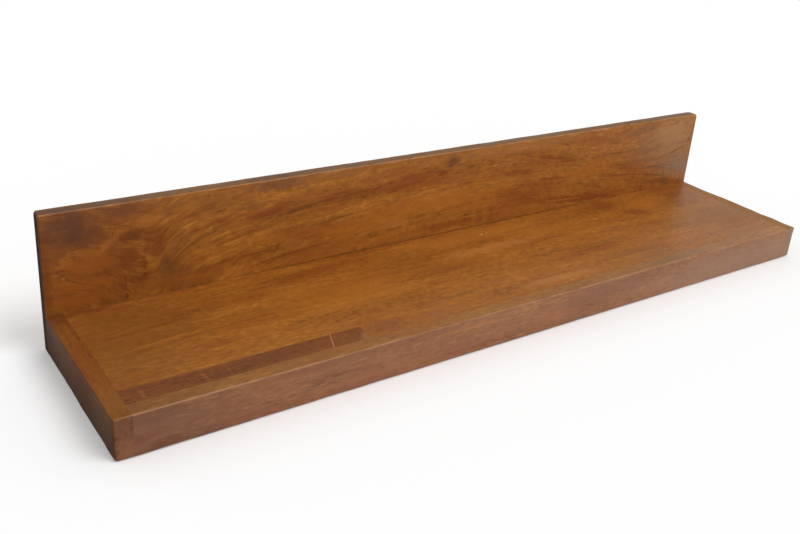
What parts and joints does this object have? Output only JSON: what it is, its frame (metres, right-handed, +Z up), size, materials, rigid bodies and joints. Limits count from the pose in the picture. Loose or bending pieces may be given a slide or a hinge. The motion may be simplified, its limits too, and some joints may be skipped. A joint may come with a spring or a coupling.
{
  "type": "wall shelf",
  "caption": "Stained solid-wood wall shelf: a boxed shelf with an upright board along its rear edge, hung on keyhole plates let into the back.",
  "frame": {"origin": "under the middle of the whole shelf, level with its lower edge, half-way between wall and front face", "axes": "+X along the wall to the right seen from the front, +Y to the wall, +Z up"},
  "size_m": [0.9, 0.2, 0.143],
  "materials": {
    "back_wood": "golden brown stain under worn satin varnish",
    "end_wood": "dark brown stain, satin",
    "front_wood": "reddish brown stain under worn satin varnish",
    "top_wood": "golden brown stain under worn satin varnish",
    "dark_filler_wood": "dark red-brown stain, satin",
    "pale_filler": "wood filler, satin",
    "light_filler_wood": "golden brown stain, satin",
    "inner_wood": "bare sawn softwood",
    "panel_wood": "thin board, stained once, matte",
    "dowel_wood": "bare beech",
    "screw_steel": "yellow-zinc plated",
    "hanger_steel": "bright-zinc plated"
  },
  "bodies": {
    "root": {"back_board": "back_wood", "left_end_board": "end_wood", "right_end_board": "end_wood", "front_board": "front_wood", "top_board": "top_wood", "filler_strip_left": "dark_filler_wood", "filler_line": "pale_filler", "filler_strip_short": "dark_filler_wood", "filler_strip_right": "light_filler_wood", "front_batten": "inner_wood", "rear_batten": "inner_wood", "cross_rib_1": "inner_wood", "cross_rib_2": "inner_wood", "cross_rib_3": "inner_wood", "bottom_panel": "panel_wood", "corner_dowels": "dowel_wood", "rib_dowels": "dowel_wood", "end_board_screws": "screw_steel", "batten_screws": "screw_steel", "top_board_screws": "screw_steel", "panel_screws": "screw_steel", "rib_screws": "screw_steel", "hanger_screws": "screw_steel", "left_hanger": "hanger_steel", "right_hanger": "hanger_steel"}
  },
  "joints": []
}
